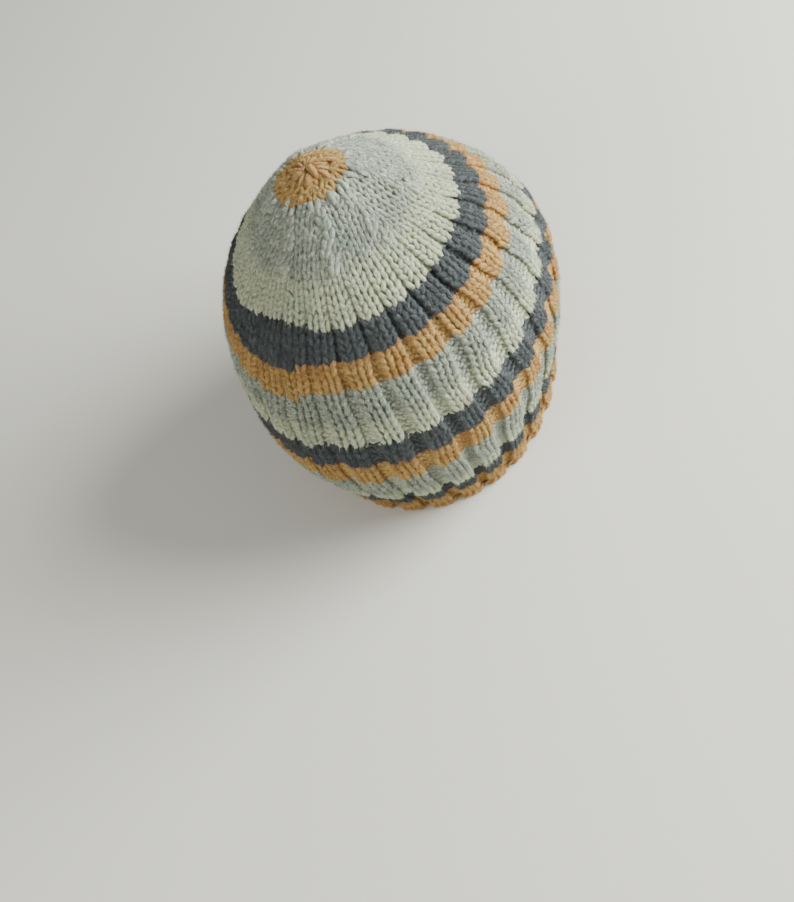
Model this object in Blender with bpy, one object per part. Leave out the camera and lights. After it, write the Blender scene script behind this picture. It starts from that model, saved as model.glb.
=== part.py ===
"""Ribbed knit cap in striped wool, standing on its open rim.

The cap is one knitted piece, worked in the round from the rim to the tip: a hollow
wall of two-by-two rib, widest below half way up, which closes into a plain pointed
crown with a small gathered tip. Its section is oval, like a head's, and its crown
leans a little. Units are metres, +Z is up, the rim lies on z = 0 round the origin
and the oval's long way runs along Y, with the cap's front at -Y.
"""

from collections import namedtuple
import math

import bmesh
import bpy
import numpy as np

# Driving sizes of the cap. Radii are the mean of the oval's long and short half.
HEIGHT = 0.177
WIDEST_RADIUS = 0.091
WIDEST_HEIGHT = 0.066
RIM_RADIUS = 0.075
RIM_BAND = 0.003
WALL = 0.0042

# How far the cap's section is from round, long way front to back, and how far the
# crown leans off the rim's centre
OVAL = 0.10
LEAN = 0.008

# Ribs: two knit columns stand proud, two purl columns lie back between them
RIB_COUNT = 27
RIB_DEPTH = 0.0032
FIRST_VALLEY_DEG = 4.3

# Soft gathers that run in to the tip
GATHER_COUNT = 9
GATHER_DEPTH = 0.0014

# Longest step between two rings of the mesh, along the wall
RING_STEP = 0.0125

# Each table below has one row for each section of the wall, and these columns: oval
# is a share of OVAL, side and front are shares of LEAN along X and Y, rib is a share
# of RIB_DEPTH and gather a share of GATHER_DEPTH.
COLUMNS = "oval side front rib gather"

# Rows from the rim to the widest ring. height is a share of WIDEST_HEIGHT and swell
# a share of the way from RIM_RADIUS to WIDEST_RADIUS.
BodyRow = namedtuple("BodyRow", "height swell " + COLUMNS)
BODY_ROWS = (
    BodyRow(0.00, 0.00, oval=0.90, side=0.00, front=0.00, rib=1.0, gather=0.0),
    BodyRow(0.22, 0.20, oval=0.95, side=0.00, front=0.00, rib=1.0, gather=0.0),
    BodyRow(0.47, 0.56, oval=1.00, side=0.00, front=0.00, rib=1.0, gather=0.0),
    BodyRow(0.68, 0.83, oval=1.00, side=0.00, front=0.00, rib=1.0, gather=0.0),
    BodyRow(1.00, 1.00, oval=1.00, side=0.00, front=0.00, rib=1.0, gather=0.0),
)

# Rows from above the widest ring to the tip. rise is a share of the height above the
# widest ring and radius a share of WIDEST_RADIUS.
CrownRow = namedtuple("CrownRow", "rise radius " + COLUMNS)
CROWN_ROWS = (
    CrownRow(0.155, 0.973, oval=0.94, side=-0.18, front=-0.01, rib=1.0, gather=0.0),
    CrownRow(0.284, 0.928, oval=0.80, side=-0.37, front=-0.08, rib=1.0, gather=0.0),
    CrownRow(0.400, 0.857, oval=0.67, side=-0.56, front=-0.16, rib=1.0, gather=0.0),
    CrownRow(0.503, 0.773, oval=0.55, side=-0.66, front=-0.25, rib=0.9, gather=0.0),
    CrownRow(0.600, 0.653, oval=0.45, side=-0.73, front=-0.36, rib=0.6, gather=0.0),
    CrownRow(0.720, 0.508, oval=0.33, side=-0.73, front=-0.52, rib=0.0, gather=0.5),
    CrownRow(0.856, 0.330, oval=0.20, side=-0.72, front=-0.72, rib=0.0, gather=1.0),
    CrownRow(0.948, 0.197, oval=0.06, side=-0.71, front=-0.90, rib=0.0, gather=1.0),
    CrownRow(0.986, 0.095, oval=0.03, side=-0.69, front=-0.96, rib=0.0, gather=0.6),
    CrownRow(1.000, 0.000, oval=0.00, side=-0.68, front=-1.00, rib=0.0, gather=0.0),
)

# One rib from valley to valley: turn is a share of the rib's pitch and proud a share
# of RIB_DEPTH. The next rib starts at the valley again.
RibRow = namedtuple("RibRow", "turn proud")
RIB_ROWS = (
    RibRow(turn=0.00, proud=0.00),
    RibRow(turn=0.22, proud=0.88),
    RibRow(turn=0.50, proud=1.00),
    RibRow(turn=0.78, proud=0.88),
)

# Stripes from the rim to the tip. rows counts the rows of knitting, and tall is the
# height of one of them against the cap's mean row.
Stripe = namedtuple("Stripe", "yarn rows tall")
STRIPES = (
    Stripe("orange", rows=4, tall=1.00),
    Stripe("slate", rows=4, tall=1.00),
    Stripe("cream", rows=8, tall=1.01),
    Stripe("orange", rows=4, tall=0.93),
    Stripe("slate", rows=4, tall=0.90),
    Stripe("cream", rows=8, tall=0.99),
    Stripe("orange", rows=4, tall=0.93),
    Stripe("slate", rows=4, tall=1.05),
    Stripe("cream", rows=15, tall=1.03),
    Stripe("orange", rows=5, tall=1.03),
)

# Wool colours as linear red, green and blue, with the roughness of brushed yarn
YARNS = {
    "cream": (0.52, 0.54, 0.46),
    "slate": (0.060, 0.075, 0.090),
    "orange": (0.62, 0.33, 0.11),
}
WOOL_ROUGHNESS = 0.9

OUTLINE_STEPS = 40


def outline_rows():
    """The wall's sections from the rim to the tip: radius, height and the shared columns."""
    rows = [(RIM_RADIUS, 0.0, *BODY_ROWS[0][2:])]
    for row in BODY_ROWS:
        radius = RIM_RADIUS + row.swell * (WIDEST_RADIUS - RIM_RADIUS)
        rows.append((radius, RIM_BAND + row.height * (WIDEST_HEIGHT - RIM_BAND), *row[2:]))
    for row in CROWN_ROWS:
        height = WIDEST_HEIGHT + row.rise * (HEIGHT - WIDEST_HEIGHT)
        rows.append((row.radius * WIDEST_RADIUS, height, *row[2:]))
    return np.array(rows)


def smooth_outline(rows):
    """A smooth curve through the sections, upright at the rim and level at the tip."""
    chord = np.hypot(*np.diff(rows[:, :2], axis=0).T)
    at = np.concatenate([[0.0], np.cumsum(chord)])
    slope = np.gradient(rows, at, axis=0)
    slope[0:2] = 0.0
    slope[0:2, 1] = 1.0
    slope[-1, :2] = (-1.0, 0.0)
    points = [rows[0]]
    for i, gap in enumerate(chord):
        for step in range(1, OUTLINE_STEPS + 1):
            t = step / OUTLINE_STEPS
            ease = t * t * (3.0 - 2.0 * t)
            point = rows[i] * (1.0 - ease) + rows[i + 1] * ease
            point = point + gap * slope[i] * t * (1.0 - t) ** 2
            point = point - gap * slope[i + 1] * t * t * (1.0 - t)
            points.append(point)
    return np.array(points)


def ring_stops(wall_length):
    """Where the mesh has its rings, as lengths along the wall, with the stripe of each."""
    mean_row = wall_length / sum(stripe.rows * stripe.tall for stripe in STRIPES)
    stops = [(0.0, 0), (RIM_BAND, 0)]
    start = RIM_BAND
    edge = 0.0
    for number, stripe in enumerate(STRIPES):
        edge += stripe.rows * stripe.tall * mean_row
        steps = max(1, round((edge - start) / RING_STEP))
        for step in range(1, steps + 1):
            stops.append((start + (edge - start) * step / steps, number))
        start = edge
    return stops


def ring_points(radius, height, oval, side, front, rib, gather):
    """One ring of the outer wall, with its ribs and gathers evenly spaced round the oval."""
    points = []
    for number in range(RIB_COUNT):
        for row in RIB_ROWS:
            turn = math.radians(FIRST_VALLEY_DEG) + math.tau * (number + row.turn) / RIB_COUNT
            angle = turn - 0.5 * OVAL * math.sin(2.0 * turn)
            sunk = rib * RIB_DEPTH * (1.0 - row.proud)
            sunk += gather * GATHER_DEPTH * (0.5 - 0.5 * math.cos(GATHER_COUNT * turn))
            reach = radius * (1.0 + oval * OVAL * math.cos(2.0 * angle)) - sunk
            x = reach * math.sin(angle) + side * LEAN
            y = front * LEAN - reach * math.cos(angle)
            points.append((x, y, height))
    return points


def wool(name):
    """A plain wool material of one yarn's colour."""
    material = bpy.data.materials.new("wool_" + name)
    material.use_nodes = True
    shader = material.node_tree.nodes["Principled BSDF"]
    shader.inputs["Base Color"].default_value = (*YARNS[name], 1.0)
    shader.inputs["Roughness"].default_value = WOOL_ROUGHNESS
    shader.inputs["Metallic"].default_value = 0.0
    material.diffuse_color = (*YARNS[name], 1.0)
    return material


def build_cap():
    """The cap's outer skin as rings of faces, thickened inwards to the wall."""
    curve = smooth_outline(outline_rows())
    at = np.concatenate([[0.0], np.cumsum(np.hypot(*np.diff(curve[:, :2], axis=0).T))])
    yarn_names = list(YARNS)

    mesh_maker = bmesh.new()
    below = None
    stops = ring_stops(at[-1])
    for length, number in stops[:-1]:
        section = [np.interp(length, at, column) for column in curve.T]
        ring = [mesh_maker.verts.new(point) for point in ring_points(*section)]
        if below:
            for i in range(len(ring)):
                j = (i + 1) % len(ring)
                face = mesh_maker.faces.new((below[i], below[j], ring[j], ring[i]))
                face.material_index = yarn_names.index(STRIPES[number].yarn)
        below = ring
    top = CROWN_ROWS[-1]
    tip = mesh_maker.verts.new((top.side * LEAN, top.front * LEAN, HEIGHT))
    for i in range(len(below)):
        face = mesh_maker.faces.new((below[i], below[(i + 1) % len(below)], tip))
        face.material_index = yarn_names.index(STRIPES[-1].yarn)
    bmesh.ops.recalc_face_normals(mesh_maker, faces=mesh_maker.faces)

    mesh = bpy.data.meshes.new("knitted_cap")
    mesh_maker.to_mesh(mesh)
    mesh_maker.free()
    mesh.shade_smooth()
    for name in yarn_names:
        mesh.materials.append(wool(name))
    cap = bpy.data.objects.new("knitted_cap", mesh)
    bpy.context.scene.collection.objects.link(cap)

    wall = cap.modifiers.new("wall", "SOLIDIFY")
    wall.thickness = WALL
    wall.offset = -1.0
    wall.use_even_offset = False
    return cap


def main():
    for old in list(bpy.data.objects):
        bpy.data.objects.remove(old)
    build_cap()


main()
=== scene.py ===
"""Striped ribbed cap in wool: every round of knitting is laid as real yarn on the cap's wall."""

from collections import namedtuple
import math

import bpy
import numpy as np
from mathutils import Matrix, Vector


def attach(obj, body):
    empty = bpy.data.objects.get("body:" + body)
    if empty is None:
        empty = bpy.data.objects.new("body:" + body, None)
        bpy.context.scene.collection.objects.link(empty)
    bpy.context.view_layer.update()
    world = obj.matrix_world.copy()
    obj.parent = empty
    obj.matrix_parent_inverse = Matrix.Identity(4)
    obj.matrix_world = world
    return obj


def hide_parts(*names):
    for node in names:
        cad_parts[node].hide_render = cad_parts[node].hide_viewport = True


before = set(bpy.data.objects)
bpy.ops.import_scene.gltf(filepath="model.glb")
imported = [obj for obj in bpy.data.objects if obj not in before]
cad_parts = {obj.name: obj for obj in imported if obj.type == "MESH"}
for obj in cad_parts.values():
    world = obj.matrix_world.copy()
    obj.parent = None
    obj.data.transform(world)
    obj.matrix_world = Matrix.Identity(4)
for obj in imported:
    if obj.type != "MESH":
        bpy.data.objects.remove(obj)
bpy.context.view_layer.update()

# Sizes of the cap as the solid has them, in metres, with the oval as a share
HEIGHT = 0.177
WIDEST_RADIUS = 0.091
WIDEST_HEIGHT = 0.066
RIM_RADIUS = 0.075
RIM_BAND = 0.003
OVAL = 0.10
LEAN = 0.008
RIB_COUNT = 27
FIRST_VALLEY_DEG = 4.3

COLUMNS = "oval side front"
BodyRow = namedtuple("BodyRow", "height swell " + COLUMNS)
BODY_ROWS = (
    BodyRow(0.00, 0.00, oval=0.90, side=0.00, front=0.00),
    BodyRow(0.22, 0.20, oval=0.95, side=0.00, front=0.00),
    BodyRow(0.47, 0.56, oval=1.00, side=0.00, front=0.00),
    BodyRow(0.68, 0.83, oval=1.00, side=0.00, front=0.00),
    BodyRow(1.00, 1.00, oval=1.00, side=0.00, front=0.00),
)
CrownRow = namedtuple("CrownRow", "rise radius " + COLUMNS)
CROWN_ROWS = (
    CrownRow(0.155, 0.973, oval=0.94, side=-0.18, front=-0.01),
    CrownRow(0.284, 0.928, oval=0.80, side=-0.37, front=-0.08),
    CrownRow(0.400, 0.857, oval=0.67, side=-0.56, front=-0.16),
    CrownRow(0.503, 0.773, oval=0.55, side=-0.66, front=-0.25),
    CrownRow(0.600, 0.653, oval=0.45, side=-0.73, front=-0.36),
    CrownRow(0.720, 0.508, oval=0.33, side=-0.73, front=-0.52),
    CrownRow(0.856, 0.330, oval=0.20, side=-0.72, front=-0.72),
    CrownRow(0.948, 0.197, oval=0.06, side=-0.71, front=-0.90),
    CrownRow(0.986, 0.095, oval=0.03, side=-0.69, front=-0.96),
    CrownRow(1.000, 0.000, oval=0.00, side=-0.68, front=-1.00),
)
OUTLINE_STEPS = 40

# Stripes from the rim to the tip, with their rows and the height of a row
Stripe = namedtuple("Stripe", "piece yarn rows tall")
STRIPES = (
    Stripe("rim_orange", "orange", rows=4, tall=1.00),
    Stripe("low_slate", "slate", rows=4, tall=1.00),
    Stripe("low_cream", "cream", rows=8, tall=1.01),
    Stripe("middle_orange", "orange", rows=4, tall=0.93),
    Stripe("middle_slate", "slate", rows=4, tall=0.90),
    Stripe("middle_cream", "cream", rows=8, tall=0.99),
    Stripe("high_orange", "orange", rows=4, tall=0.93),
    Stripe("high_slate", "slate", rows=4, tall=1.05),
    Stripe("crown_cream", "cream", rows=15, tall=1.03),
    Stripe("tip_orange", "orange", rows=5, tall=1.03),
)
ROWS = sum(stripe.rows for stripe in STRIPES)

# Where the knitting changes: the rounds' start, rows counted from the rim, and the crown's wedges
ROUND_START_DEG = FIRST_VALLEY_DEG - 1.5 * 360.0 / RIB_COUNT
RIM_ROWS = 4
EDGE_LEVEL = -0.5
HELIX_ROWS = 6.0
PLAIN_FROM = 46
PALER_FROM = 50
TIP_FROM = 55
DRAWN_FROM = 58
WEDGES = 9

# A rib's stitches by rising turn: 1 for knit, -1 for purl
RIB_KINDS = (1.0, -1.0, -1.0, 1.0)

# A stitch: counts of its points, half heights in rows, sizes in metres and the rest as shares, apart
# from TURN_OVER, which is how much of its way, in radians, the yarn takes between knit and purl
SAMPLES = 10
SIDES = 5
KNIT_TALL = 0.96
PURL_TALL = 0.20
NEW_KNIT_TALL = 1.2 * KNIT_TALL
NEW_PURL_TALL = 2.1 * PURL_TALL
LOOP_DEPTH = 0.00105
PURL_LOOP = 0.6
TURN_OVER = 0.30 * math.pi
ACROSS_LIMITS = (-0.3, 1.3)
YARN_SHARE = 0.27
THINNEST_YARN = 0.00095
YARN_FLAT = 0.94
KNIT_THIN = 0.80
KNIT_SWELL = 0.32
PURL_THIN = 0.70
CAST_ON_TALL = 0.0028

# How uneven the stitches are: shares of their sizes, the depth in metres, and how much of it purls have
UNEVEN_LEAN = 0.16
UNEVEN_TALL = 0.07
UNEVEN_LIFT = 0.11
UNEVEN_SHIFT = 0.045
UNEVEN_THICK = 0.05
UNEVEN_FAT = 0.035
UNEVEN_DEPTH = 0.00016
PURL_LOOSE = 0.25

# The crown's lines of decreases: their place in a wedge, their thicker yarn and how far it stands out
LINE_PLACE = 0.79
LINE_THICK = 1.13
LINE_RISE = 0.0007

# Tones: what a stitch's chance tone, from 0 to 1, gains or loses in places, and the felt's and strands'
# Painted light: purl columns, which lie back in the valleys, are made paler
PURL_PAINTED_LIGHT = 0.9
LINE_TONE = 0.7
# Painted shade: the rows at the tip are made darker
TIP_PAINTED_SHADE = 1.3
FIRST_PLAIN_TONE = 0.6
HAIR_TONE = 1.2
FELT_TONE = 0.5
# Painted shade: the strands' chance tones lie mostly below the stitches', which darkens the strands
# over the tip
STRAND_TONES = (-0.7, 0.3)

# Valleys between the ribs: their depth in metres, their width where the cap is slack and what
# stretching adds, where their floors and sides lie, and how much less their grooves are shaded
RIB_SINK = 0.0020
SLACK_WIDTH = 0.55
STRETCH_WIDTH = 0.45
VALLEY_FLOOR = 0.50
VALLEY_SIDE = 0.09
VALLEY_SINKS = (0.3 * RIB_SINK, 0.8 * RIB_SINK)
VALLEY_SHADE = 0.6

# Felted wool behind the stitches: its depth in the valleys, its grid and its place on the yarn map
VALLEY_FELT = 0.0021
FELT_PER_RIB = 8
FELT_PATCH = ((0.0, 0.0), (0.3, 0.0), (0.3, 0.4), (0.0, 0.4))
FELT_STEP = (0.31, 0.17)

# How far the fabric hangs and bows between its ribs, in rows, and the rows where these and the
# ribs' drift come in
HANG = 0.4
HANG_TOP = (54.0, 44.0)
HANG_RIM = (1.0, 8.0)
BOW = 0.17
BOW_TOP = (47.0, 40.0)
BOW_LOW = (16.0, 34.0)
DRIFT_TOP = (32.5, 25.5)

# Soft dents of the wall, and a fold beside the crown: depths in metres, places up the wall as shares
# of it, and the fold's places round it in degrees
DENT_DEPTH = 0.0005
DENT_TOP = (1.0, 0.8)
FOLD_DEPTH = 0.0010
FOLD_LOW = (0.76, 0.84)
FOLD_TOP = (0.96, 0.89)
FoldPlace = namedtuple("FoldPlace", "turn width")
FOLD_CREST = FoldPlace(turn=107.0, width=13.0)
FOLD_HOLLOW = FoldPlace(turn=80.0, width=15.0)
Dent = namedtuple("Dent", "size around up start")
DENTS = (
    Dent(1.0, around=2.0, up=9.0, start=0.6),
    Dent(0.7, around=3.0, up=-7.0, start=2.1),
    Dent(0.5, around=5.0, up=12.0, start=4.0),
)

# Slow waves of the rows, in rows, and of the columns, in radians
Sway = namedtuple("Sway", "size around up")
ROW_SWAYS = (
    Sway(0.14, around=3.0, up=0.41),
    Sway(0.10, around=8.0, up=1.7),
)
COLUMN_SWAYS = (
    Sway(0.007, around=5.0, up=0.45),
    Sway(0.004, around=11.0, up=0.9),
)

# Steps that the wall's direction is measured over, in radians and metres, and how near the tip it goes
TURN_STEP = 1e-3
LENGTH_STEP = 3e-4
TIP_MARGIN = 0.0006

# The rows next to the tip dip into it: the last stretch of the wall, and the dip's slope
DIP_LENGTH = 0.003
DIP_SLOPE = 0.6

# Stray hairs: where they grow on the yarn, how they head and bend, their sizes in metres, and their
# steps on the yarn map
HAIRS_PER_STITCH = 56
HAIR_DEEPEST = 0.0020
HAIR_LEAST_SHADE = 0.7
HAIR_ROUND = 1.2
HAIR_ROOT = 0.86
HAIR_STRAY = 0.42
HAIR_RISE = (0.05, 0.45)
HAIR_ALONG = 0.9
HAIR_BEND = 0.40
HAIR_DROOP = 0.35
HAIR_CURL = 0.4
HAIR_TWIST = 0.3
HAIR_LENGTH = (0.0007, 0.0024)
HAIR_HALF_WIDTH = (0.00008, 0.00015)
HAIR_LOWEST = 0.0003
HAIR_MAP = (0.0011, 0.37)

# The cast-on edge's two strands
CAST_ON_WINDS = 2.0 * RIB_COUNT
CAST_ON_STEPS = 24 * RIB_COUNT
CAST_ON_HEIGHT = 0.00172
CAST_ON_DEPTH = 0.00185
CAST_ON_REACH = 0.00070
CAST_ON_THICK = 0.00100

# Strands over the tip: how they bow and arch, how deep and thin their ends are, and the tip's round
STRAND_POINTS = 15
STRAND_BOW = 0.05
STRAND_ARCH = 0.6
STRAND_END = 0.0022
STRAND_THIN = 0.62
STRAND_SWELL = 0.38
# The least depth that a strand passes on, which sets its painted groove shade and where its hairs grow
STRAND_LEAST_DEPTH = 0.001
TIP_ROUND = 0.03

# Loops drawn together at the tip, with the ranges that their chance values lie in
DRAWN_LOOPS = 2 * WEDGES
DRAWN_START = 0.0012
DRAWN_STRAY_DEG = 7.0
DRAWN_SWING_DEG = 12.0
DRAWN_THICK = (0.00095, 0.00125)
DRAWN_REACH = (0.0080, 0.0115)
DRAWN_LIFT = (0.0001, 0.0010)

# The yarn map's units to a metre, and millimetres to a metre
MAP_PER_METRE = 100.0
MILLIMETRES = 1000.0

CHANCE_SEED = 27

# By row: the yarn's radius, how far its legs lean, and the depth of the felted wool behind them
YarnLook = namedtuple("YarnLook", "row thick lean felt")
YARN_LOOKS = (
    YarnLook(0, thick=0.00135, lean=0.215, felt=0.0018),
    YarnLook(3, thick=0.00135, lean=0.215, felt=0.0018),
    YarnLook(4, thick=0.00142, lean=0.215, felt=0.0010),
    YarnLook(7, thick=0.00142, lean=0.215, felt=0.0010),
    YarnLook(8, thick=0.00125, lean=0.215, felt=0.0021),
    YarnLook(15, thick=0.00125, lean=0.215, felt=0.0021),
    YarnLook(16, thick=0.00130, lean=0.215, felt=0.0017),
    YarnLook(19, thick=0.00130, lean=0.215, felt=0.0017),
    YarnLook(20, thick=0.00142, lean=0.215, felt=0.0010),
    YarnLook(23, thick=0.00142, lean=0.215, felt=0.0010),
    YarnLook(24, thick=0.00122, lean=0.215, felt=0.0021),
    YarnLook(31, thick=0.00122, lean=0.215, felt=0.0021),
    YarnLook(32, thick=0.00128, lean=0.215, felt=0.0017),
    YarnLook(35, thick=0.00128, lean=0.215, felt=0.0017),
    YarnLook(36, thick=0.00138, lean=0.225, felt=0.0011),
    YarnLook(39, thick=0.00138, lean=0.225, felt=0.0011),
    YarnLook(40, thick=0.00120, lean=0.220, felt=0.0023),
    YarnLook(47, thick=0.00117, lean=0.230, felt=0.0021),
    YarnLook(54, thick=0.00113, lean=0.225, felt=0.0018),
    YarnLook(58, thick=0.00114, lean=0.230, felt=0.0013),
)

# By row: how loosely the stitches lie
LooseRow = namedtuple("LooseRow", "row loose")
LOOSE_ROWS = (
    LooseRow(44, loose=1.0),
    LooseRow(52, loose=1.1),
    LooseRow(56, loose=1.7),
)

# By row: how far the tops of the knit stitches lie to one side, as a share of their width
SkewRow = namedtuple("SkewRow", "row skew")
SKEW_ROWS = (
    SkewRow(32, skew=0.03),
    SkewRow(41, skew=0.13),
    SkewRow(47, skew=0.13),
    SkewRow(54, skew=0.05),
)

# By row: the purl columns' share of a rib's pitch, the depth of the valleys where the cap is
# stretched and where it is slack, and the round of the ribs
RibLook = namedtuple("RibLook", "row share deep slack_deep crest")
RIB_LOOKS = (
    RibLook(0, share=0.36, deep=1.00, slack_deep=1.00, crest=0.16),
    RibLook(16, share=0.36, deep=1.00, slack_deep=0.90, crest=0.16),
    RibLook(24, share=0.40, deep=0.95, slack_deep=0.75, crest=0.16),
    RibLook(28, share=0.36, deep=0.95, slack_deep=0.65, crest=0.18),
    RibLook(32, share=0.31, deep=1.05, slack_deep=0.55, crest=0.26),
    RibLook(36, share=0.22, deep=1.00, slack_deep=0.35, crest=0.42),
    RibLook(39, share=0.13, deep=1.00, slack_deep=0.20, crest=0.48),
    RibLook(42, share=0.05, deep=0.62, slack_deep=0.10, crest=0.48),
    RibLook(46, share=0.03, deep=0.22, slack_deep=0.05, crest=0.45),
    RibLook(50, share=0.03, deep=0.00, slack_deep=0.00, crest=0.45),
)

# How far the ribs stand out round the cap: 0 where it is slack, 1 stretched, and more on its full side
StretchPlace = namedtuple("StretchPlace", "turn stretch")
STRETCH = (
    StretchPlace(-180, 1.0),
    StretchPlace(-110, 0.7),
    StretchPlace(-70, 0.2),
    StretchPlace(-35, 0.0),
    StretchPlace(-14, 0.1),
    StretchPlace(0, 0.6),
    StretchPlace(14, 0.9),
    StretchPlace(34, 1.0),
    StretchPlace(66, 1.4),
    StretchPlace(140, 1.4),
    StretchPlace(180, 1.0),
)

# The ribs' drift below the high stripes, in degrees at each turn
DriftPlace = namedtuple("DriftPlace", "turn drift")
DRIFTS = (
    DriftPlace(-180, 0.0),
    DriftPlace(18, 0.0),
    DriftPlace(31, -1.4),
    DriftPlace(44, -3.0),
    DriftPlace(58, -3.0),
    DriftPlace(84, -1.6),
    DriftPlace(105, 0.0),
    DriftPlace(180, 0.0),
)

# Rows that the fabric is pulled up or down by, just left and right of the round's start, and where
# each side's pull comes in, in degrees past that start
PulledRow = namedtuple("PulledRow", "row left right")
PULLED_ROWS = (
    PulledRow(22, left=0.0, right=0.0),
    PulledRow(32, left=-0.5, right=-0.4),
    PulledRow(36, left=-0.5, right=-0.6),
    PulledRow(40, left=1.8, right=0.5),
    PulledRow(44, left=0.9, right=0.3),
    PulledRow(50, left=0.0, right=0.0),
)
PULL_SIDES = {"left": (318.0, 348.0), "right": (16.0, 2.0)}

# Knit columns left in each of the crown's wedges, by row
WedgeRow = namedtuple("WedgeRow", "row columns")
WEDGE_ROWS = (
    WedgeRow(45.0, 6.0),
    WedgeRow(46.5, 6.0),
    WedgeRow(48.5, 5.1),
    WedgeRow(50.5, 4.2),
    WedgeRow(52.5, 3.2),
    WedgeRow(54.5, 2.3),
    WedgeRow(56.0, 1.9),
    WedgeRow(57.3, 1.1),
    WedgeRow(62.0, 1.0),
)

# Strands that lie over the tip: where each starts and ends, by turn and distance from the tip
Strand = namedtuple("Strand", "piece turn_in reach_in turn_out reach_out thick lift")
TIP_STRANDS = (
    Strand("tip_orange", 200, 0.0016, 47, 0.0078, 0.00170, 0.0022),
    Strand("tip_orange", 219, 0.0034, 108, 0.0180, 0.00125, 0.0014),
    Strand("tip_orange", 20, 0.0020, 5, 0.0105, 0.00165, 0.0012),
    Strand("tip_orange", 75, 0.0040, 66, 0.0130, 0.00150, 0.0010),
    Strand("tip_orange", -40, 0.0010, -62, 0.0095, 0.00150, 0.0010),
    Strand("tip_orange", 150, 0.0012, 163, 0.0090, 0.00150, 0.0011),
    Strand("tip_orange", -14, 0.0120, -10, 0.0205, 0.00125, 0.0005),
    Strand("tip_orange", 124, 0.0125, 128, 0.0210, 0.00120, 0.0006),
    Strand("tip_orange", -75, 0.0120, -80, 0.0200, 0.00120, 0.0006),
    Strand("crown_cream", 70, 0.0150, 64, 0.0225, 0.00120, 0.0008),
    Strand("crown_cream", -36, 0.0155, -34, 0.0225, 0.00120, 0.0008),
    Strand("crown_cream", 106, 0.0170, 93, 0.0370, 0.00120, 0.0008),
    Strand("crown_cream", 44, 0.0160, 40, 0.0235, 0.00150, 0.0012),
)

# The wools: base turns to second up a stripe, between the two shares in changes, with the colour of
# the flecks, what patches multiply the colour by, the painted shade that the grooves' colour is
# multiplied by (for slate a slight painted lightening), and the sheen. Slate wool doesn't turn
WoolLook = namedtuple("WoolLook", "base second pale patch groove changes tint sheen")
WOOLS = {
    "cream": WoolLook(
        base=(0.500, 0.530, 0.355),
        second=(0.270, 0.297, 0.243),
        pale=(0.72, 0.76, 0.60),
        patch=(0.86, 0.93, 0.92),
        groove=(0.73, 0.74, 0.59),
        changes=(0.35, 0.52),
        tint=(0.88, 0.94, 0.76),
        sheen=0.45,
    ),
    "slate": WoolLook(
        base=(0.058, 0.065, 0.065),
        second=(0.058, 0.065, 0.065),
        pale=(0.120, 0.142, 0.146),
        patch=(1.18, 1.20, 1.20),
        groove=(1.05, 1.04, 1.00),
        changes=(2.0, 3.0),
        tint=(0.22, 0.25, 0.27),
        sheen=0.26,
    ),
    "orange": WoolLook(
        base=(0.470, 0.295, 0.104),
        second=(0.342, 0.170, 0.079),
        pale=(0.68, 0.46, 0.155),
        patch=(0.84, 0.70, 0.64),
        groove=(0.80, 0.53, 0.46),
        changes=(0.80, 1.15),
        tint=(0.95, 0.66, 0.25),
        sheen=0.30,
    ),
}

# The wool's noise: its scale, in waves to a metre apart from the fibres', its detail and roughness
Grain = namedtuple("Grain", "scale detail rough")
FIBRES = Grain(1.0, detail=3.0, rough=0.7)
FINE = Grain(1300.0, detail=3.0, rough=0.7)
BLOTCHES = Grain(300.0, detail=3.0, rough=0.6)
PATCHES = Grain(105.0, detail=3.0, rough=0.6)
BROAD = Grain(34.0, detail=2.0, rough=0.5)

# Fibres on the yarn map: how often they repeat along and round the yarn, and their twist
FIBRE_ALONG = 6.0
FIBRE_ROUND = 13.0
FIBRE_TWIST = 14.0

# How much each noise changes the colour, and where flecks, patches and the painted groove shade show,
# with depths in millimetres
MIDDLE = 0.5
CHANGE_MOTTLE = 0.5
FIBRE_SHARE = 0.5
FINE_SHARE = 0.5
FLECK_GRAIN = 0.7
FLECK_BLOTCH = 0.3
FLECKS = (0.47, 0.64)
FLECK_STRENGTH = 0.65
PATCH_PLACES = (0.50, 0.66)
STITCH_TONE = 0.14
BASE_TONE = 0.88
BROAD_TONE = 0.25
GRAIN_TONE = 2.3
# Painted shade: the depths below the outer face over which the groove shade comes in, and those over
# which it fades again toward the inner face
PAINTED_SHADE_DEPTHS = (0.50, 2.2)
PAINTED_SHADE_FADE_DEPTHS = (3.0, 4.2)
INNER_PAINTED_SHADE = (1.0, 0.25)

# The wool's surface
BUMP_FINE = 0.8
BUMP_DEPTH = 0.0016
FIBRE_HEIGHTS = (0.2, 0.8)
WOOL_ROUGH = (0.98, 0.80)
WOOL_SPECULAR = 0.2
WOOL_SUBSURFACE = 0.35
SUBSURFACE_RADIUS = (1.0, 0.85, 0.7)
SUBSURFACE_SCALE = 0.0016
SHEEN_ROUGH = 0.5

# The camera: angles in degrees, place in metres, sensor in millimetres, focal length in pixels
CAMERA_TURN = 32.33
CAMERA_RISE = 51.45
CAMERA_ROLL = -30.41
CAMERA_PLACE = (0.2159, -0.4120, 0.5480)
CAMERA_NEAREST = 0.01
SENSOR = 36.0
FOCAL_PIXELS = 1300.0
PICTURE_TALL = 902.0

# The floor and the room
FLOOR_SIZE = 6.0
FLOOR_COLOUR = (0.530, 0.524, 0.470)
FLOOR_ROUGH = 0.95
ROOM_COLOUR = (0.95, 0.97, 1.0)
ROOM_STRENGTH = 0.455

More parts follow.
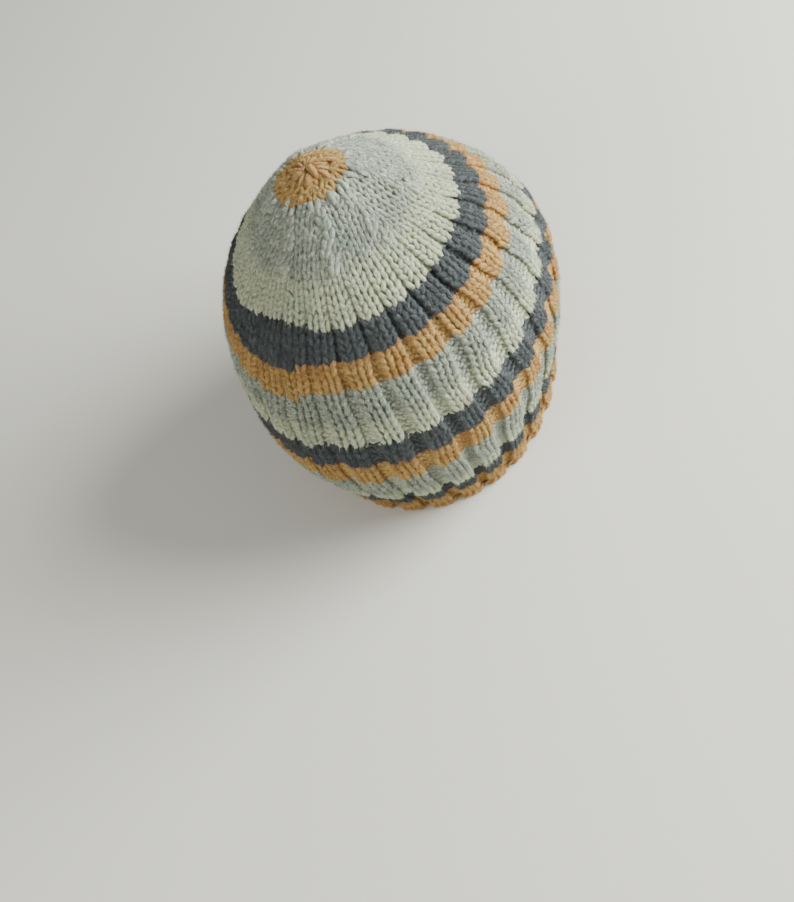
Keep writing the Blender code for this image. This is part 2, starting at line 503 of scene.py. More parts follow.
# Round lamps: places in metres, power in watts
Lamp = namedtuple("Lamp", "name place aim size power colour")
LAMPS = (
    Lamp("window", (1.04, 0.36, 0.57), (0.0, 0.0, 0.08), 1.1, 73.0, (0.97, 0.987, 0.975)),
    Lamp("pale_wall", (-0.75, -1.20, 0.70), (0.0, 0.0, 0.06), 1.0, 14.5, (1.0, 0.97, 0.88)),
    Lamp("pale_table", (0.05, -0.80, 0.42), (0.10, -0.32, 0.0), 0.5, 1.2, (1.0, 0.98, 0.93)),
)


def smooth_step(low, high, value):
    """A soft rise from 0 at low to 1 at high, which may be the smaller of the two."""
    t = np.clip((value - low) / (high - low), 0.0, 1.0)
    return t * t * (3.0 - 2.0 * t)


def unit(vectors):
    return vectors / np.linalg.norm(vectors, axis=-1, keepdims=True)


def read_table(table, at, column, period=None):
    """A table's column at places between its rows, whose own places are in the first column."""
    places = [row[0] for row in table]
    values = [getattr(row, column) for row in table]
    return np.interp(at, places, values, period=period)


def outline_rows():
    """The wall's sections from the rim to the tip: radius, height and the shared columns."""
    rows = [(RIM_RADIUS, 0.0, *BODY_ROWS[0][2:])]
    for row in BODY_ROWS:
        radius = RIM_RADIUS + row.swell * (WIDEST_RADIUS - RIM_RADIUS)
        rows.append((radius, RIM_BAND + row.height * (WIDEST_HEIGHT - RIM_BAND), *row[2:]))
    for row in CROWN_ROWS:
        height = WIDEST_HEIGHT + row.rise * (HEIGHT - WIDEST_HEIGHT)
        rows.append((row.radius * WIDEST_RADIUS, height, *row[2:]))
    return np.array(rows)


def smooth_outline(rows):
    """A smooth curve through the sections, upright at the rim and level at the tip."""
    chord = np.hypot(*np.diff(rows[:, :2], axis=0).T)
    at = np.concatenate([[0.0], np.cumsum(chord)])
    slope = np.gradient(rows, at, axis=0)
    slope[0:2] = 0.0
    slope[0:2, 1] = 1.0
    slope[-1, :2] = (-1.0, 0.0)
    points = [rows[0]]
    for i, gap in enumerate(chord):
        for step in range(1, OUTLINE_STEPS + 1):
            t = step / OUTLINE_STEPS
            ease = t * t * (3.0 - 2.0 * t)
            point = rows[i] * (1.0 - ease) + rows[i + 1] * ease
            point = point + gap * slope[i] * t * (1.0 - t) ** 2
            point = point - gap * slope[i + 1] * t * t * (1.0 - t)
            points.append(point)
    return np.array(points)


CURVE = smooth_outline(outline_rows())
CURVE_AT = np.concatenate([[0.0], np.cumsum(np.hypot(*np.diff(CURVE[:, :2], axis=0).T))])
WALL_LENGTH = CURVE_AT[-1]
ROW_TALL = WALL_LENGTH / sum(stripe.rows * stripe.tall for stripe in STRIPES)
ROW_SHARES = np.repeat([stripe.tall for stripe in STRIPES], [stripe.rows for stripe in STRIPES])
ROW_EDGES = np.concatenate([[0.0], np.cumsum(ROW_SHARES)]) * ROW_TALL


def skin(turn, length):
    """Points of the smooth outer wall, at even turns round the oval and lengths from the rim."""
    radius, height, oval, side, front = (np.interp(length, CURVE_AT, column) for column in CURVE.T)
    angle = turn - 0.5 * OVAL * np.sin(2.0 * turn)
    reach = radius * (1.0 + oval * OVAL * np.cos(2.0 * angle))
    x = reach * np.sin(angle) + side * LEAN
    y = front * LEAN - reach * np.cos(angle)
    return np.stack([x, y, height], -1)


def skin_and_way_out(turn, length):
    """Points of the wall with the direction that points straight out of it."""
    length = np.clip(length, 0.0, WALL_LENGTH - TIP_MARGIN)
    point = skin(turn, length)
    across = skin(turn + TURN_STEP, length) - skin(turn - TURN_STEP, length)
    along = skin(turn, length + LENGTH_STEP) - skin(turn, length - LENGTH_STEP)
    return point, unit(np.cross(across, along))


def soft_dents(turn, length):
    """Slow hollows and swellings of a wall that is soft, in metres."""
    share = length / WALL_LENGTH
    wave = 0.0
    for dent in DENTS:
        wave = wave + dent.size * np.sin(dent.around * turn + dent.up * share + dent.start)
    degrees = (np.degrees(turn) + 180.0) % 360.0 - 180.0
    crest = np.exp(-((degrees - FOLD_CREST.turn) / FOLD_CREST.width) ** 2)
    hollow = np.exp(-((degrees - FOLD_HOLLOW.turn) / FOLD_HOLLOW.width) ** 2)
    fold = (crest - hollow) * smooth_step(*FOLD_LOW, share) * smooth_step(*FOLD_TOP, share)
    return DENT_DEPTH * smooth_step(*DENT_TOP, share) * wave + FOLD_DEPTH * fold


def stretch_at(turn):
    return read_table(STRETCH, np.degrees(turn), "stretch", period=360.0)


def rib_share(row, rib):
    """The purl columns' share of the pitch, for ribs counted from the round's start."""
    turn = math.radians(ROUND_START_DEG) + (rib + 0.5) * math.tau / RIB_COUNT
    return read_table(RIB_LOOKS, row, "share") * (SLACK_WIDTH + STRETCH_WIDTH * stretch_at(turn))


def rib_sink(turn, row):
    """How far the yarn lies back between two ribs, in metres."""
    phase = (turn - math.radians(FIRST_VALLEY_DEG)) * RIB_COUNT / math.tau
    half = 0.5 * rib_share(row, np.round(phase) + 1.0)
    crest_share = read_table(RIB_LOOKS, row, "crest")
    away = np.abs(phase - np.round(phase))
    lift = smooth_step(VALLEY_FLOOR * half, half + VALLEY_SIDE, away)
    crest = 1.0 - (1.0 - 2.0 * away) ** 2
    stretch = stretch_at(turn)
    deep = read_table(RIB_LOOKS, row, "deep") * stretch
    deep = deep + read_table(RIB_LOOKS, row, "slack_deep") * (1.0 - stretch)
    return RIB_SINK * deep * (1.0 - (1.0 - crest_share) * lift - crest_share * crest)


def valley_share(sink):
    """How much of a valley's floor a place is: 0 on a rib, 1 between two ribs."""
    return smooth_step(*VALLEY_SINKS, sink)


def settle(turn, level):
    """Where a place in the knitting really lies, with the drift of the ribs and the pulled rows."""
    degrees = np.degrees(turn)
    drift = read_table(DRIFTS, degrees, "drift", period=360.0) * smooth_step(*DRIFT_TOP, level)
    past_start = (degrees - ROUND_START_DEG) % 360.0
    pull = 0.0
    for side, reach in PULL_SIDES.items():
        pull = pull + smooth_step(*reach, past_start) * read_table(PULLED_ROWS, level, side)
    hang = HANG * smooth_step(*HANG_TOP, level) * smooth_step(*HANG_RIM, level)
    bow = BOW * stretch_at(turn) * np.cos(RIB_COUNT * (turn - math.radians(FIRST_VALLEY_DEG)))
    bow = bow * smooth_step(*BOW_TOP, level) * smooth_step(*BOW_LOW, level)
    return turn + np.radians(drift), level + pull - hang + bow


def sway(value, waves, turn, up):
    """A value with slow waves added that run round the cap and up it."""
    for wave in waves:
        value = value + wave.size * np.sin(wave.around * turn + wave.up * up)
    return value


def stitches_in(row):
    """How many stitches a row has, and +1 for knit or -1 for purl for each, by rising turn."""
    if row < PLAIN_FROM:
        return RIB_COUNT * len(RIB_KINDS), np.tile(RIB_KINDS, RIB_COUNT)
    columns = read_table(WEDGE_ROWS, row + 0.5, "columns")
    count = max(1, int(round(float(columns)))) * WEDGES
    return count, np.ones(count)


def stitch_turn(row, stitch, across, level):
    """The turn round the cap of a place across a stitch, in radians from the round's start."""
    if row < PLAIN_FROM:
        rib, member = np.divmod(stitch, len(RIB_KINDS))
        share = rib_share(level, rib)
        none = 0.0 * share
        edges = np.stack([none, 0.5 - 0.5 * share, 0.5 + none, 0.5 + 0.5 * share, 1.0 + none])
        low = np.take_along_axis(edges, member[None], 0)[0]
        high = np.take_along_axis(edges, member[None] + 1, 0)[0]
        return (rib + low + across * (high - low)) * math.tau / RIB_COUNT
    count = stitches_in(row)[0] // WEDGES
    columns = read_table(WEDGE_ROWS, level, "columns")
    wedge, member = np.divmod(stitch, count)
    low = np.minimum(member / columns, 1.0)
    high = np.where(member == count - 1, 1.0, np.minimum((member + 1) / columns, 1.0))
    return (wedge + low + across * (high - low)) * math.tau / WEDGES


def row_level_to_length(level):
    """Lengths up the wall of places between rows, with the first rows drawn in over the edge."""
    length = np.interp(level, np.arange(ROWS + 1), ROW_EDGES)
    length = length + np.maximum(level - ROWS, 0.0) * ROW_TALL
    share = (level - EDGE_LEVEL) / (RIM_ROWS - EDGE_LEVEL)
    low = CAST_ON_TALL + share * (ROW_EDGES[RIM_ROWS] - CAST_ON_TALL)
    return np.where(level < RIM_ROWS, low, length)


def stitch_heights(row, kind, before, after, t):
    """Half the height of each stitch along its yarn, evened out where knit and purl meet."""
    starts_colour = row in np.cumsum([stripe.rows for stripe in STRIPES])
    knit_tall = NEW_KNIT_TALL if starts_colour else KNIT_TALL
    purl_tall = NEW_PURL_TALL if starts_colour else PURL_TALL
    tall, tall_in, tall_out = (np.where(k > 0, knit_tall, purl_tall) for k in (kind, before, after))
    tall = np.where(t < 0.5 * math.pi, 0.5 * (tall + tall_in), tall)
    return np.where(t > 1.5 * math.pi, 0.5 * (tall + tall_out), tall)


def stitch_relief(kind, before, after, t):
    """How far the yarn stands out of the fabric along each stitch, flat where knit and purl meet."""
    loop = -np.cos(2.0 * t) * LOOP_DEPTH * kind
    edge_in = np.where(before != kind, smooth_step(0.0, TURN_OVER, t), 1.0)
    edge_out = np.where(after != kind, smooth_step(0.0, TURN_OVER, math.tau - t), 1.0)
    return loop * edge_in * edge_out * np.where(kind > 0, 1.0, PURL_LOOP)


def uneven(rng, count, size):
    """A chance value for each of a row's stitches, with size as its spread."""
    return size * rng.standard_normal((count, 1))


def lay_row(row, rng):
    """One round of knitting as a yarn's path: turn, length, sink, depth, thickness, level and tone."""
    count, kinds = stitches_in(row)
    plain = row >= PLAIN_FROM
    loose = float(read_table(LOOSE_ROWS, row, "loose"))
    stitch = np.repeat(np.arange(count)[::-1], SAMPLES).reshape(count, SAMPLES)
    kind = kinds[stitch]
    before = np.roll(kind, 1, axis=0)
    after = np.roll(kind, -1, axis=0)
    t = np.tile(np.arange(SAMPLES) * math.tau / SAMPLES, (count, 1))
    top = np.sin(0.5 * t) ** 2

    lean = read_table(YARN_LOOKS, row, "lean") * (1.0 + uneven(rng, count, UNEVEN_LEAN * loose))
    skew = float(read_table(SKEW_ROWS, row, "skew")) * (kind > 0)
    loose = loose * np.where(kind > 0, 1.0, PURL_LOOSE)
    tall = stitch_heights(row, kind, before, after, t) * (1.0 + uneven(rng, count, UNEVEN_TALL))
    lift = uneven(rng, count, UNEVEN_LIFT * loose) * top
    shift = (uneven(rng, count, UNEVEN_SHIFT * loose) - skew) * top
    across = 1.0 - (t / math.tau + lean * np.sin(2.0 * t) + shift)
    level = row + 0.5 - tall * np.cos(t) + lift

    far = stitch_turn(row, stitch, np.clip(across, *ACROSS_LIMITS), level)
    level = level + min(1.0, row / HELIX_ROWS) * (0.5 - far / math.tau)
    turn = far + math.radians(ROUND_START_DEG)
    level = sway(level, ROW_SWAYS, turn, row)
    turn = sway(turn, COLUMN_SWAYS, far, level)

    loop = stitch_relief(kind, before, after, t)
    sink = rib_sink(turn, level)
    turn, settled = settle(turn, level)
    length = row_level_to_length(settled)
    circle = np.interp(length, CURVE_AT, CURVE[:, 0]) * math.tau
    width = circle / count
    if not plain:
        width = circle / RIB_COUNT * 0.5 * (1.0 - rib_share(level, stitch // len(RIB_KINDS)))
    thick = np.clip(YARN_SHARE * width, THINNEST_YARN, read_table(YARN_LOOKS, row, "thick"))
    thick = thick * (1.0 + uneven(rng, count, UNEVEN_THICK * loose))
    fabric = thick + LOOP_DEPTH - loop - uneven(rng, count, UNEVEN_DEPTH * loose) * top
    fat = np.where(kind > 0, KNIT_THIN + KNIT_SWELL * np.sin(t) ** 2, PURL_THIN)
    thick = thick * fat * (1.0 + UNEVEN_FAT * rng.standard_normal(t.shape))
    # Painted light: purl columns, which lie back in the valleys, gain tone and are paler
    tone = rng.uniform(0.0, 1.0, (count, 1)) + PURL_PAINTED_LIGHT * (kind < 0)
    if plain:
        per_wedge = count // WEDGES
        drawn_in = (stitch % per_wedge == int(LINE_PLACE * per_wedge)) & (row < TIP_FROM)
        thick = thick * np.where(drawn_in, LINE_THICK, 1.0)
        fabric = fabric - LINE_RISE * drawn_in
        # Painted shade: the tip's rows lose tone, so they are darker
        tone = tone + LINE_TONE * drawn_in - TIP_PAINTED_SHADE * (row >= TIP_FROM)
        tone = tone - FIRST_PLAIN_TONE * (row < PALER_FROM)
    return [values.ravel() for values in (turn, length, sink, fabric, thick, level, tone)]


def yarn_tube(points, out, thick, fabric):
    """A yarn's rings and faces, its place along and round the yarn, and each point's depth."""
    ahead = unit(np.gradient(points, axis=0))
    side = unit(np.cross(ahead, out))
    up = np.cross(side, ahead)
    angle = np.arange(SIDES) * math.tau / SIDES
    ring = side[:, None] * np.cos(angle)[None, :, None]
    ring = ring + up[:, None] * np.sin(angle)[None, :, None] * YARN_FLAT
    verts = points[:, None] + ring * thick[:, None, None]
    depth = fabric[:, None] - np.einsum("nsk,nk->ns", ring, out) * thick[:, None]
    count = len(points)
    i = np.arange(count - 1)[:, None]
    j = np.arange(SIDES)[None]
    k = (j + 1) % SIDES
    faces = np.stack([i * SIDES + j, (i + 1) * SIDES + j, (i + 1) * SIDES + k, i * SIDES + k], -1)
    run = np.concatenate([[0.0], np.cumsum(np.linalg.norm(np.diff(points, axis=0), axis=1))])
    near, far, low, high = np.broadcast_arrays(run[i], run[i + 1], j, j + 1)
    u = np.stack([near, far, far, near], -1)
    v = np.stack([low, low, high, high], -1) / SIDES
    uv = np.stack([u, v], -1).reshape(-1, 2)
    ends = [list(range(SIDES)), [(count - 1) * SIDES + n for n in reversed(range(SIDES))]]
    return verts.reshape(-1, 3), faces.reshape(-1, 4), uv, ends, depth.ravel()


def stray_fibres(points, out, thick, fabric, shade, count, rng):
    """Short hairs that stand off the yarn, each one narrow triangle that ends in a point."""
    open_yarn = (fabric < HAIR_DEEPEST) & (np.broadcast_to(shade, len(points)) > HAIR_LEAST_SHADE)
    showing = np.flatnonzero(open_yarn)
    pick = rng.choice(showing[(showing > 0) & (showing < len(points) - 1)], count)
    ahead = unit(points[pick + 1] - points[pick - 1])
    normal = out[pick]
    side = np.cross(ahead, normal)
    angle = rng.uniform(-HAIR_ROUND, HAIR_ROUND, (count, 1))
    away = normal * np.cos(angle) + side * np.sin(angle)
    start = points[pick] + away * thick[pick][:, None] * HAIR_ROOT
    heading = rng.normal(0.0, HAIR_STRAY, (count, 3)) + away * rng.uniform(*HAIR_RISE, (count, 1))
    heading = unit(heading + ahead * rng.choice([-HAIR_ALONG, HAIR_ALONG], (count, 1)))
    bend = rng.normal(0.0, HAIR_BEND, (count, 3)) - HAIR_DROOP * away
    reach = rng.uniform(*HAIR_LENGTH, (count, 1))
    wide = rng.uniform(*HAIR_HALF_WIDTH, (count, 1))
    across = unit(np.cross(heading, away + rng.normal(0.0, HAIR_TWIST, (count, 3))))
    tip = start + reach * (heading + HAIR_CURL * bend)
    verts = np.stack([start - across * wide, start + across * wide, tip], 1).reshape(-1, 3)
    verts[:, 2] = np.maximum(verts[:, 2], HAIR_LOWEST)
    return verts, np.arange(count)[:, None] * 3 + [[0, 1, 2]], pick


def felt_behind(first_row, stripe):
    """The close wool halfway through the fabric, which shuts the gaps between its stitches."""
    around = RIB_COUNT * FELT_PER_RIB
    levels = np.linspace(first_row, first_row + stripe.rows, stripe.rows + 1)
    turns = math.radians(FIRST_VALLEY_DEG) + np.arange(around) * math.tau / around
    turn, level = np.meshgrid(turns, levels)
    far = (turn - math.radians(ROUND_START_DEG)) % math.tau
    inside = (level > 0.0) & (level < ROWS)
    climb = np.minimum(1.0, level / HELIX_ROWS) * (0.5 - far / math.tau)
    moved = level + np.where(inside, climb, 0.0)
    turn, level, moved = turn.ravel(), level.ravel(), moved.ravel()
    sink = rib_sink(turn, moved)
    turn, settled = settle(turn, moved)
    settled = np.where(level < ROWS, settled, ROWS)
    length = row_level_to_length(np.where(level > 0.0, settled, EDGE_LEVEL))
    point, out = skin_and_way_out(turn, length)
    valley = valley_share(sink)
    depth = read_table(YARN_LOOKS, moved, "felt") * (1.0 - valley) + VALLEY_FELT * valley
    sink = sink + depth - soft_dents(turn, length)
    verts = point - out * sink[:, None]
    i = np.arange(stripe.rows)[:, None] * around
    j = np.arange(around)[None]
    k = (j + 1) % around
    faces = np.stack([i + j, i + k, i + around + k, i + around + j], -1).reshape(-1, 4)
    steps = np.arange(len(faces))[:, None] * FELT_STEP
    uv = np.tile(FELT_PATCH, (len(faces), 1)) + np.repeat(steps, len(FELT_PATCH), axis=0)
    # The depth that it returns gives the felt painted groove shade, weaker on the valleys' floors, so
    # it shows dark in the gaps
    return verts, faces, uv, moved, depth * (1.0 - VALLEY_SHADE * valley)


def cast_on_strands():
    """The two strands of the cast-on edge, wound round each other along the rim."""
    turn = np.arange(CAST_ON_STEPS + 1) * math.tau / CAST_ON_STEPS
    rim = 0.0 * turn
    strands = []
    for start in (0.0, math.pi):
        wind = CAST_ON_WINDS * turn + start
        length = CAST_ON_HEIGHT + CAST_ON_REACH * np.cos(wind)
        depth = CAST_ON_DEPTH + CAST_ON_REACH * np.sin(wind)
        point, out = skin_and_way_out(settle(turn, rim)[0], length)
        sink = rib_sink(turn, rim) - soft_dents(turn, length)
        path = point - out * (sink + depth)[:, None]
        strands.append((path, out, CAST_ON_THICK + rim, depth))
    return strands


def strand_over_tip(strand):
    """A strand that lies over the tip, fat in its middle, with both ends going into the fabric."""
    ends = []
    for turn, reach in ((strand.turn_in, strand.reach_in), (strand.turn_out, strand.reach_out)):
        ends.append((reach * math.sin(math.radians(turn)), -reach * math.cos(math.radians(turn))))
    t = np.linspace(0.0, 1.0, STRAND_POINTS)
    x, y = (ends[0][axis] + (ends[1][axis] - ends[0][axis]) * t for axis in (0, 1))
    bow = STRAND_BOW * np.sin(math.pi * t)
    x, y = x - bow * (ends[1][1] - ends[0][1]), y + bow * (ends[1][0] - ends[0][0])
    point = skin(np.arctan2(x, -y), WALL_LENGTH - np.hypot(x, y))
    out = unit(np.stack([x / TIP_ROUND, y / TIP_ROUND, 1.0 + 0.0 * x], -1))
    arch = np.sin(math.pi * t) ** STRAND_ARCH
    depth = STRAND_END - (STRAND_END - strand.thick + strand.lift) * arch
    thick = strand.thick * (STRAND_THIN + STRAND_SWELL * arch)
    return point - out * depth[:, None], out, thick, np.maximum(depth, STRAND_LEAST_DEPTH)


def drawn_strands(rng):
    """The live loops of the last round, drawn together at the tip."""
    strands = []
    for n in range(DRAWN_LOOPS):
        turn = 360.0 / DRAWN_LOOPS * (n + 0.5) + rng.uniform(-DRAWN_STRAY_DEG, DRAWN_STRAY_DEG)
        thick = rng.uniform(*DRAWN_THICK)
        reach = rng.uniform(*DRAWN_REACH)
        lift = rng.uniform(*DRAWN_LIFT)
        turn_out = turn + rng.uniform(-DRAWN_SWING_DEG, DRAWN_SWING_DEG)
        strand = Strand("tip_orange", turn, DRAWN_START, turn_out, reach, thick, lift)
        strands.append(strand_over_tip(strand))
    return strands


class Knitting:
    """Yarns and wool gathered into one mesh, with a yarn map and marks on each point."""

    def __init__(self):
        self.verts, self.faces, self.uvs = [], [], []
        # The deep mark is each point's depth below the fabric's outer face, which the wool turns into
        # painted groove shade
        self.marks = {"up_stripe": [], "stitch_tone": [], "deep": []}
        self.count = 0

    def add(self, verts, face_sets, share, tone, deep):
        for faces, uv in face_sets:
            self.faces.append(np.asarray(faces) + self.count)
            self.uvs.append(uv.reshape(-1, 2))
        self.verts.append(verts)
        self.count += len(verts)
        for mark, values in zip(self.marks.values(), (share, tone, deep)):
            mark.append(np.broadcast_to(values, len(verts)))

    def add_yarn(self, path, out, thick, fabric, share, tone, hairs, rng, shade=1.0):
        verts, faces, uv, ends, depth = yarn_tube(path, out, thick, fabric)
        # The painted groove shade is weaker on the valleys' floors
        depth = depth * np.repeat(np.broadcast_to(shade, len(path)), SIDES)
        end_uv = np.tile(uv[:1], (SIDES, 1))
        face_sets = [(faces, uv), (ends[:1], end_uv), (ends[1:], end_uv)]
        share = np.broadcast_to(share, len(path))
        tone = np.broadcast_to(tone, len(path))
        self.add(verts, face_sets, np.repeat(share, SIDES), np.repeat(tone, SIDES), depth)
        verts, points, pick = stray_fibres(path, out, thick, fabric, shade, hairs, rng)
        along, around = HAIR_MAP
        at = np.stack([pick * along, pick * around % 1.0], -1)
        face_sets = [(points, np.repeat(at, 3, axis=0))]
        self.add(verts, face_sets, np.repeat(share[pick], 3), np.repeat(tone[pick] + HAIR_TONE, 3), 0.0)

    def piece(self, name):
        mesh = bpy.data.meshes.new(name)
        faces = [face for block in self.faces for face in block.tolist()]
        mesh.from_pydata(np.concatenate(self.verts), [], faces)
        layer = mesh.uv_layers.new(name="along_yarn")
        uv = np.concatenate(self.uvs) * [MAP_PER_METRE, 1.0]
        layer.data.foreach_set("uv", uv.astype(np.float32).ravel())
        for mark, values in self.marks.items():
            attribute = mesh.attributes.new(mark, "FLOAT", "POINT")
            scale = MILLIMETRES if mark == "deep" else 1.0
            attribute.data.foreach_set("value", (scale * np.concatenate(values)).astype(np.float32))
        mesh.shade_smooth()
        piece = bpy.data.objects.new(name, mesh)
        bpy.context.scene.collection.objects.link(piece)
        return piece


def stripe_yarn(first_row, stripe, rng):
    """The yarn of one stripe, worked row by row in one length."""
    last_row = min(first_row + stripe.rows, DRAWN_FROM)
    rows = [lay_row(row, rng) for row in range(first_row, last_row)]
    turn, length, sink, fabric, thick, level, tone = [np.concatenate(column) for column in zip(*rows)]
    point, out = skin_and_way_out(turn, length)
    shade = 1.0 - VALLEY_SHADE * valley_share(sink)
    over = np.maximum(0.0, length - (WALL_LENGTH - DIP_LENGTH))
    sink = sink + DIP_SLOPE * over - soft_dents(turn, length)
    path = point - out * (sink + fabric)[:, None]
    return path, out, thick, fabric, level, tone, shade


def build_stripes(wools, rng):
    """Every stripe's yarn with its stray hairs, as one piece for each stripe."""
    first_row = 0
    for stripe in STRIPES:
        knitting = Knitting()
        path, out, thick, fabric, level, tone, shade = stripe_yarn(first_row, stripe, rng)
        share = (level - first_row) / stripe.rows
        hairs = int(len(path) / SAMPLES * HAIRS_PER_STITCH)
        knitting.add_yarn(path, out, thick, fabric, share, tone, hairs, rng, shade)
        verts, faces, uv, moved, depth = felt_behind(first_row, stripe)
        knitting.add(verts, [(faces, uv)], (moved - first_row) / stripe.rows, FELT_TONE, depth)
        strands = [strand_over_tip(strand) for strand in TIP_STRANDS if strand.piece == stripe.piece]
        if stripe.piece == "tip_orange":
            strands += drawn_strands(rng)
        if stripe.piece == "rim_orange":
            strands += cast_on_strands()
        for strand in strands:
            knitting.add_yarn(*strand, 1.0, rng.uniform(*STRAND_TONES), len(strand[0]), rng)
        piece = knitting.piece(stripe.piece)
        piece.data.materials.append(wools[stripe.yarn])
        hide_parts("knitted_cap")
        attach(piece, "root")
        first_row += stripe.rows


class Nodes:
    """A material's node tree, with short ways to add and join its nodes."""

    def __init__(self, name):
        self.material = bpy.data.materials.new(name)
        self.material.use_nodes = True
        self.tree = self.material.node_tree
        self.shader = self.tree.nodes["Principled BSDF"]

    def add(self, kind, **settings):
        node = self.tree.nodes.new("ShaderNode" + kind)
        for key, value in settings.items():
            setattr(node, key, value)
        return node

    def join(self, source, target):
        self.tree.links.new(source, target)

    def fill(self, socket, value):
        """Joins another node's output to a socket, or sets the socket to a number or a colour."""
        if hasattr(value, "is_linked"):
            self.join(value, socket)
        elif isinstance(value, tuple):
            socket.default_value = (*value, 1.0)
        else:
            socket.default_value = value

    def math(self, work, *values):
        node = self.add("Math", operation=work)
        for socket, value in zip(node.inputs, values):
            self.fill(socket, value)
        return node.outputs[0]

    def spread(self, value, low, high, to_low=0.0, to_high=1.0):
        node = self.add("MapRange", interpolation_type="SMOOTHSTEP")
        self.join(value, node.inputs["Value"])
        node.inputs["From Min"].default_value = low
        node.inputs["From Max"].default_value = high
        node.inputs["To Min"].default_value = to_low
        node.inputs["To Max"].default_value = to_high
        return node.outputs["Result"]

    def blend(self, share, first, second, mode="MIX"):
        """A Mix node of two colours, whose colour sockets are numbers 6 and 7 in and 2 out."""
        node = self.add("Mix", data_type="RGBA", blend_type=mode)
        for number, value in ((0, share), (6, first), (7, second)):
            self.fill(node.inputs[number], value)
        return node.outputs[2]

    def noise(self, vector, grain):
        node = self.add("TexNoise")
        self.join(vector, node.inputs["Vector"])
        node.inputs["Scale"].default_value = grain.scale
        node.inputs["Detail"].default_value = grain.detail
        node.inputs["Roughness"].default_value = grain.rough
        return node.outputs["Fac"]

    def mark(self, name):
        return self.add("Attribute", attribute_name=name).outputs["Fac"]

    def around_middle(self, value, strength, base):
        """A base that goes up and down with a noise around its middle."""
        return self.math("MULTIPLY_ADD", self.math("SUBTRACT", value, MIDDLE), strength, base)


def yarn_fibres(n):
    """Noise drawn out along the yarn map, as fibres that twist round the yarn."""
    split = n.add("SeparateXYZ")
    n.join(n.add("UVMap", uv_map="along_yarn").outputs["UV"], split.inputs[0])
    along, around = split.outputs["X"], split.outputs["Y"]
    streaks = n.add("CombineXYZ")
    n.join(n.math("MULTIPLY", along, FIBRE_ALONG), streaks.inputs["X"])
    twist = n.math("MULTIPLY", along, FIBRE_TWIST)
    n.join(n.math("MULTIPLY_ADD", around, FIBRE_ROUND, twist), streaks.inputs["Y"])
    return n.noise(streaks.outputs[0], FIBRES)


def wool(name, look):
    """Soft wool: base turns to second up the stripe, with pale flecks, patches and shaded grooves."""
    n = Nodes(name)
    place = n.add("TexCoord").outputs["Object"]
    fibre = yarn_fibres(n)
    fine = n.noise(place, FINE)
    blotch = n.noise(place, BLOTCHES)
    broad = n.noise(place, BROAD)

    share = n.around_middle(blotch, CHANGE_MOTTLE, n.mark("up_stripe"))
    colour = n.blend(n.spread(share, *look.changes), look.base, look.second)
    grain = n.math("MULTIPLY_ADD", fibre, FIBRE_SHARE, n.math("MULTIPLY", fine, FINE_SHARE))
    flecks = n.math("MULTIPLY_ADD", grain, FLECK_GRAIN, n.math("MULTIPLY", blotch, FLECK_BLOTCH))
    flecks = n.math("MULTIPLY", n.spread(flecks, *FLECKS), FLECK_STRENGTH)
    colour = n.blend(flecks, colour, look.pale)
    patches = n.spread(n.noise(place, PATCHES), *PATCH_PLACES)
    colour = n.blend(patches, colour, look.patch, "MULTIPLY")
    tone = n.math("MULTIPLY_ADD", n.mark("stitch_tone"), STITCH_TONE, BASE_TONE)
    tone = n.around_middle(broad, BROAD_TONE, tone)
    tone = n.around_middle(grain, GRAIN_TONE, tone)
    tone_colour = n.add("CombineXYZ")
    for socket in tone_colour.inputs:
        n.join(tone, socket)
    colour = n.blend(1.0, colour, tone_colour.outputs[0], "MULTIPLY")

    # Painted shade: points that lie deeper below the fabric's outer face are multiplied by the wool's
    # groove shade colour, which fades again toward the inner face
    deep = n.mark("deep")
    inside = n.spread(deep, *PAINTED_SHADE_DEPTHS)
    inner_face = n.spread(deep, *PAINTED_SHADE_FADE_DEPTHS, *INNER_PAINTED_SHADE)
    colour = n.blend(n.math("MULTIPLY", inside, inner_face), colour, look.groove, "MULTIPLY")
    n.join(colour, n.shader.inputs["Base Color"])

    bump = n.add("Bump")
    bump.inputs["Strength"].default_value = 1.0
    bump.inputs["Distance"].default_value = BUMP_DEPTH
    n.join(n.math("ADD", fibre, n.math("MULTIPLY", fine, BUMP_FINE)), bump.inputs["Height"])
    n.join(bump.outputs[0], n.shader.inputs["Normal"])
    n.join(n.spread(fibre, *FIBRE_HEIGHTS, *WOOL_ROUGH), n.shader.inputs["Roughness"])
    n.shader.inputs["Specular IOR Level"].default_value = WOOL_SPECULAR
    n.shader.inputs["Subsurface Weight"].default_value = WOOL_SUBSURFACE
    n.shader.inputs["Subsurface Radius"].default_value = SUBSURFACE_RADIUS
    n.shader.inputs["Subsurface Scale"].default_value = SUBSURFACE_SCALE
    n.shader.inputs["Sheen Weight"].default_value = look.sheen
    n.shader.inputs["Sheen Roughness"].default_value = SHEEN_ROUGH
    n.shader.inputs["Sheen Tint"].default_value = (*look.tint, 1.0)
    return n.material


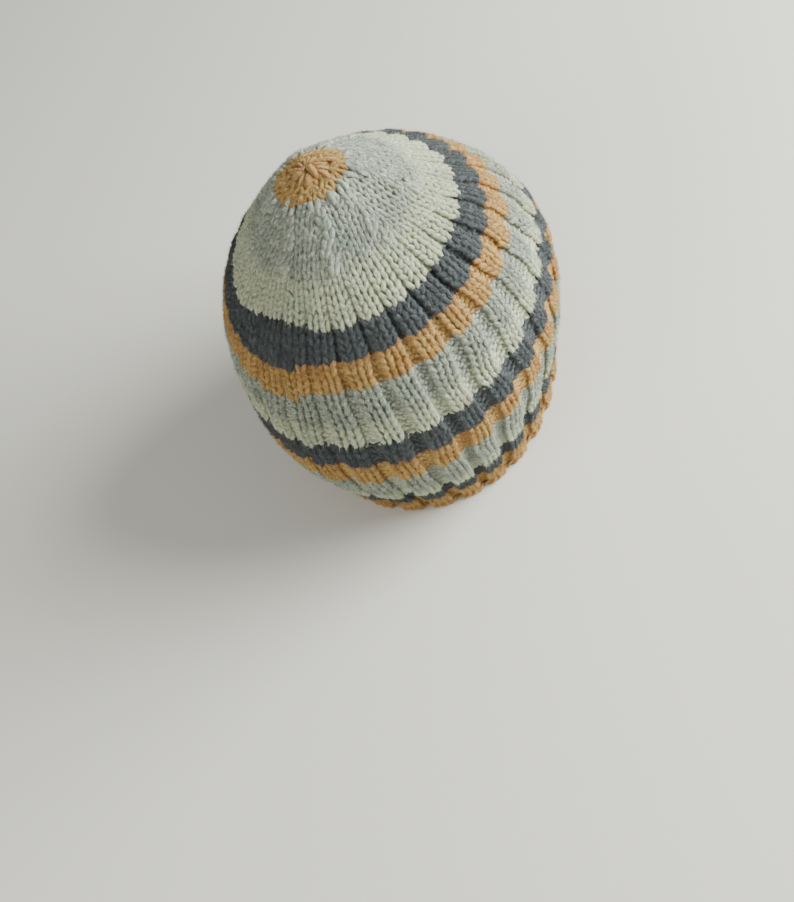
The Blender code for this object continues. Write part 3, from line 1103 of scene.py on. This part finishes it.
def photo_camera():
    """The camera: turned from the front to the right, high up, and rolled."""
    turn, rise, roll = (math.radians(angle) for angle in (CAMERA_TURN, CAMERA_RISE, CAMERA_ROLL))
    back = Vector((math.sin(turn) * math.cos(rise), -math.cos(turn) * math.cos(rise), math.sin(rise)))
    level = Vector((math.cos(turn), math.sin(turn), 0.0))
    upright = back.cross(level)
    right = level * math.cos(roll) + upright * math.sin(roll)
    up = back.cross(right)
    camera = bpy.data.objects.new("camera", bpy.data.cameras.new("camera"))
    rows = [(right[axis], up[axis], back[axis], CAMERA_PLACE[axis]) for axis in range(3)]
    camera.matrix_world = Matrix((*rows, (0.0, 0.0, 0.0, 1.0)))
    camera.data.sensor_width = SENSOR
    camera.data.lens = SENSOR * FOCAL_PIXELS / PICTURE_TALL
    camera.data.clip_start = CAMERA_NEAREST
    bpy.context.scene.collection.objects.link(camera)
    bpy.context.scene.camera = camera


def area_light(lamp):
    """A round soft lamp that looks from its place to its aim."""
    light = bpy.data.lights.new(lamp.name, "AREA")
    light.shape = "DISK"
    light.size = lamp.size
    light.energy = lamp.power
    light.color = lamp.colour
    holder = bpy.data.objects.new(lamp.name, light)
    holder.location = lamp.place
    holder.rotation_euler = (Vector(lamp.aim) - Vector(lamp.place)).to_track_quat("-Z", "Y").to_euler()
    bpy.context.scene.collection.objects.link(holder)


def studio():
    """A plain pale floor in a soft room, with its lamps."""
    bpy.ops.mesh.primitive_plane_add(size=FLOOR_SIZE, location=(0.0, 0.0, 0.0))
    floor = bpy.context.object
    floor.name = "floor"
    material = bpy.data.materials.new("pale_floor")
    material.use_nodes = True
    shader = material.node_tree.nodes["Principled BSDF"]
    shader.inputs["Base Color"].default_value = (*FLOOR_COLOUR, 1.0)
    shader.inputs["Roughness"].default_value = FLOOR_ROUGH
    floor.data.materials.append(material)
    world = bpy.data.worlds.new("soft_room")
    world.use_nodes = True
    background = world.node_tree.nodes["Background"]
    background.inputs["Color"].default_value = (*ROOM_COLOUR, 1.0)
    background.inputs["Strength"].default_value = ROOM_STRENGTH
    bpy.context.scene.world = world
    for lamp in LAMPS:
        area_light(lamp)


def main():
    for thing in list(bpy.context.selected_objects):
        thing.select_set(False)
    wools = {yarn: wool(yarn + "_wool", look) for yarn, look in WOOLS.items()}
    build_stripes(wools, np.random.default_rng(CHANCE_SEED))
    studio()
    photo_camera()


main()
